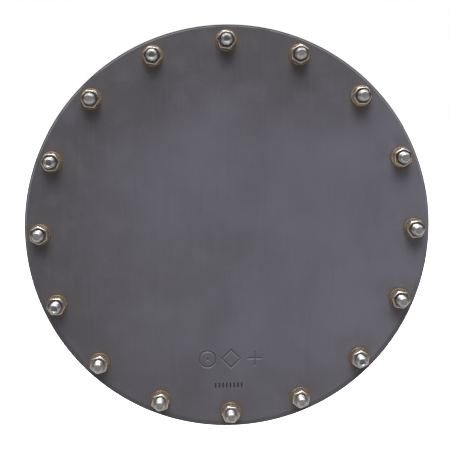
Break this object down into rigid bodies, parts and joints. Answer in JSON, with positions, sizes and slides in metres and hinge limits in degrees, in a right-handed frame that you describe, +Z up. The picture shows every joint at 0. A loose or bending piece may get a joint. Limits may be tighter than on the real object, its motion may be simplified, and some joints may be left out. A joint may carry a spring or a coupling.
{
  "type": "blind flange",
  "caption": "Round blind flange bolted over a ring flange at a pipe end, with a gasket between them and hex bolts, washers and nuts that unscrew.",
  "frame": {"origin": "on the flange axis at the sealing face of the ring flange, which is one end of the pipe bore", "axes": "+Y along the flange axis, out of the pipe bore towards the pipe; the blind cover faces -Y; +Z up; the first nut is at the top"},
  "size_m": [0.595, 0.09, 0.595],
  "materials": {
    "cover_paint": "satin dark grey primer, clouded",
    "ring_paint": "satin dark grey primer",
    "gasket_sheet": "matt sheet",
    "bolt_zinc": "bright zinc plating",
    "nut_zinc": "aged yellow zinc plating",
    "washer_zinc": "aged yellow zinc plating"
  },
  "bodies": {
    "flange_ring": {"mating_flange": "ring_paint", "gasket": "gasket_sheet", "bolt_01": "bolt_zinc", "bolt_02": "bolt_zinc", "bolt_03": "bolt_zinc", "bolt_04": "bolt_zinc", "bolt_05": "bolt_zinc", "bolt_06": "bolt_zinc", "bolt_07": "bolt_zinc", "bolt_08": "bolt_zinc", "bolt_09": "bolt_zinc", "bolt_10": "bolt_zinc", "bolt_11": "bolt_zinc", "bolt_12": "bolt_zinc", "bolt_13": "bolt_zinc", "bolt_14": "bolt_zinc", "bolt_15": "bolt_zinc", "bolt_16": "bolt_zinc"},
    "cover": {"cover_plate": "cover_paint"},
    "washer_01": {"washer_01": "washer_zinc"},
    "nut_01": {"nut_01": "nut_zinc"},
    "washer_02": {"washer_02": "washer_zinc"},
    "nut_02": {"nut_02": "nut_zinc"},
    "washer_03": {"washer_03": "washer_zinc"},
    "nut_03": {"nut_03": "nut_zinc"},
    "washer_04": {"washer_04": "washer_zinc"},
    "nut_04": {"nut_04": "nut_zinc"},
    "washer_05": {"washer_05": "washer_zinc"},
    "nut_05": {"nut_05": "nut_zinc"},
    "washer_06": {"washer_06": "washer_zinc"},
    "nut_06": {"nut_06": "nut_zinc"},
    "washer_07": {"washer_07": "washer_zinc"},
    "nut_07": {"nut_07": "nut_zinc"},
    "washer_08": {"washer_08": "washer_zinc"},
    "nut_08": {"nut_08": "nut_zinc"},
    "washer_09": {"washer_09": "washer_zinc"},
    "nut_09": {"nut_09": "nut_zinc"},
    "washer_10": {"washer_10": "washer_zinc"},
    "nut_10": {"nut_10": "nut_zinc"},
    "washer_11": {"washer_11": "washer_zinc"},
    "nut_11": {"nut_11": "nut_zinc"},
    "washer_12": {"washer_12": "washer_zinc"},
    "nut_12": {"nut_12": "nut_zinc"},
    "washer_13": {"washer_13": "washer_zinc"},
    "nut_13": {"nut_13": "nut_zinc"},
    "washer_14": {"washer_14": "washer_zinc"},
    "nut_14": {"nut_14": "nut_zinc"},
    "washer_15": {"washer_15": "washer_zinc"},
    "nut_15": {"nut_15": "nut_zinc"},
    "washer_16": {"washer_16": "washer_zinc"},
    "nut_16": {"nut_16": "nut_zinc"}
  },
  "joints": [
    {"name": "cover_lift_off", "type": "slide", "parent": "flange_ring", "child": "cover", "axis": [0, -1, 0], "range_m": [0, 0.06]},
    {"name": "nut_01_travel", "type": "slide", "parent": "cover", "child": "washer_01", "axis": [0, -1, 0], "range_m": [0, 0.0215]},
    {"name": "nut_01_turn", "type": "hinge", "parent": "washer_01", "child": "nut_01", "pos_m": [0, -0.0355, 0.275], "axis": [0, -1, 0], "range_deg": [0, 3780]},
    {"name": "nut_02_travel", "type": "slide", "parent": "cover", "child": "washer_02", "axis": [0, -1, 0], "range_m": [0, 0.0215]},
    {"name": "nut_02_turn", "type": "hinge", "parent": "washer_02", "child": "nut_02", "pos_m": [0.10524, -0.0355, 0.25407], "axis": [0, -1, 0], "range_deg": [0, 3780]},
    {"name": "nut_03_travel", "type": "slide", "parent": "cover", "child": "washer_03", "axis": [0, -1, 0], "range_m": [0, 0.0215]},
    {"name": "nut_03_turn", "type": "hinge", "parent": "washer_03", "child": "nut_03", "pos_m": [0.19445, -0.0355, 0.19445], "axis": [0, -1, 0], "range_deg": [0, 3780]},
    {"name": "nut_04_travel", "type": "slide", "parent": "cover", "child": "washer_04", "axis": [0, -1, 0], "range_m": [0, 0.0215]},
    {"name": "nut_04_turn", "type": "hinge", "parent": "washer_04", "child": "nut_04", "pos_m": [0.25407, -0.0355, 0.10524], "axis": [0, -1, 0], "range_deg": [0, 3780]},
    {"name": "nut_05_travel", "type": "slide", "parent": "cover", "child": "washer_05", "axis": [0, -1, 0], "range_m": [0, 0.0215]},
    {"name": "nut_05_turn", "type": "hinge", "parent": "washer_05", "child": "nut_05", "pos_m": [0.275, -0.0355, 0], "axis": [0, -1, 0], "range_deg": [0, 3780]},
    {"name": "nut_06_travel", "type": "slide", "parent": "cover", "child": "washer_06", "axis": [0, -1, 0], "range_m": [0, 0.0215]},
    {"name": "nut_06_turn", "type": "hinge", "parent": "washer_06", "child": "nut_06", "pos_m": [0.25407, -0.0355, -0.10524], "axis": [0, -1, 0], "range_deg": [0, 3780]},
    {"name": "nut_07_travel", "type": "slide", "parent": "cover", "child": "washer_07", "axis": [0, -1, 0], "range_m": [0, 0.0215]},
    {"name": "nut_07_turn", "type": "hinge", "parent": "washer_07", "child": "nut_07", "pos_m": [0.19445, -0.0355, -0.19445], "axis": [0, -1, 0], "range_deg": [0, 3780]},
    {"name": "nut_08_travel", "type": "slide", "parent": "cover", "child": "washer_08", "axis": [0, -1, 0], "range_m": [0, 0.0215]},
    {"name": "nut_08_turn", "type": "hinge", "parent": "washer_08", "child": "nut_08", "pos_m": [0.10524, -0.0355, -0.25407], "axis": [0, -1, 0], "range_deg": [0, 3780]},
    {"name": "nut_09_travel", "type": "slide", "parent": "cover", "child": "washer_09", "axis": [0, -1, 0], "range_m": [0, 0.0215]},
    {"name": "nut_09_turn", "type": "hinge", "parent": "washer_09", "child": "nut_09", "pos_m": [0, -0.0355, -0.275], "axis": [0, -1, 0], "range_deg": [0, 3780]},
    {"name": "nut_10_travel", "type": "slide", "parent": "cover", "child": "washer_10", "axis": [0, -1, 0], "range_m": [0, 0.0215]},
    {"name": "nut_10_turn", "type": "hinge", "parent": "washer_10", "child": "nut_10", "pos_m": [-0.10524, -0.0355, -0.25407], "axis": [0, -1, 0], "range_deg": [0, 3780]},
    {"name": "nut_11_travel", "type": "slide", "parent": "cover", "child": "washer_11", "axis": [0, -1, 0], "range_m": [0, 0.0215]},
    {"name": "nut_11_turn", "type": "hinge", "parent": "washer_11", "child": "nut_11", "pos_m": [-0.19445, -0.0355, -0.19445], "axis": [0, -1, 0], "range_deg": [0, 3780]},
    {"name": "nut_12_travel", "type": "slide", "parent": "cover", "child": "washer_12", "axis": [0, -1, 0], "range_m": [0, 0.0215]},
    {"name": "nut_12_turn", "type": "hinge", "parent": "washer_12", "child": "nut_12", "pos_m": [-0.25407, -0.0355, -0.10524], "axis": [0, -1, 0], "range_deg": [0, 3780]},
    {"name": "nut_13_travel", "type": "slide", "parent": "cover", "child": "washer_13", "axis": [0, -1, 0], "range_m": [0, 0.0215]},
    {"name": "nut_13_turn", "type": "hinge", "parent": "washer_13", "child": "nut_13", "pos_m": [-0.275, -0.0355, 0], "axis": [0, -1, 0], "range_deg": [0, 3780]},
    {"name": "nut_14_travel", "type": "slide", "parent": "cover", "child": "washer_14", "axis": [0, -1, 0], "range_m": [0, 0.0215]},
    {"name": "nut_14_turn", "type": "hinge", "parent": "washer_14", "child": "nut_14", "pos_m": [-0.25407, -0.0355, 0.10524], "axis": [0, -1, 0], "range_deg": [0, 3780]},
    {"name": "nut_15_travel", "type": "slide", "parent": "cover", "child": "washer_15", "axis": [0, -1, 0], "range_m": [0, 0.0215]},
    {"name": "nut_15_turn", "type": "hinge", "parent": "washer_15", "child": "nut_15", "pos_m": [-0.19445, -0.0355, 0.19445], "axis": [0, -1, 0], "range_deg": [0, 3780]},
    {"name": "nut_16_travel", "type": "slide", "parent": "cover", "child": "washer_16", "axis": [0, -1, 0], "range_m": [0, 0.0215]},
    {"name": "nut_16_turn", "type": "hinge", "parent": "washer_16", "child": "nut_16", "pos_m": [-0.10524, -0.0355, 0.25407], "axis": [0, -1, 0], "range_deg": [0, 3780]}
  ],
  "couplings": [
    {"joint": "nut_01_travel", "follows": "nut_01_turn", "m_per_rad": 0.00031831},
    {"joint": "nut_02_travel", "follows": "nut_02_turn", "m_per_rad": 0.00031831},
    {"joint": "nut_03_travel", "follows": "nut_03_turn", "m_per_rad": 0.00031831},
    {"joint": "nut_04_travel", "follows": "nut_04_turn", "m_per_rad": 0.00031831},
    {"joint": "nut_05_travel", "follows": "nut_05_turn", "m_per_rad": 0.00031831},
    {"joint": "nut_06_travel", "follows": "nut_06_turn", "m_per_rad": 0.00031831},
    {"joint": "nut_07_travel", "follows": "nut_07_turn", "m_per_rad": 0.00031831},
    {"joint": "nut_08_travel", "follows": "nut_08_turn", "m_per_rad": 0.00031831},
    {"joint": "nut_09_travel", "follows": "nut_09_turn", "m_per_rad": 0.00031831},
    {"joint": "nut_10_travel", "follows": "nut_10_turn", "m_per_rad": 0.00031831},
    {"joint": "nut_11_travel", "follows": "nut_11_turn", "m_per_rad": 0.00031831},
    {"joint": "nut_12_travel", "follows": "nut_12_turn", "m_per_rad": 0.00031831},
    {"joint": "nut_13_travel", "follows": "nut_13_turn", "m_per_rad": 0.00031831},
    {"joint": "nut_14_travel", "follows": "nut_14_turn", "m_per_rad": 0.00031831},
    {"joint": "nut_15_travel", "follows": "nut_15_turn", "m_per_rad": 0.00031831},
    {"joint": "nut_16_travel", "follows": "nut_16_turn", "m_per_rad": 0.00031831}
  ]
}
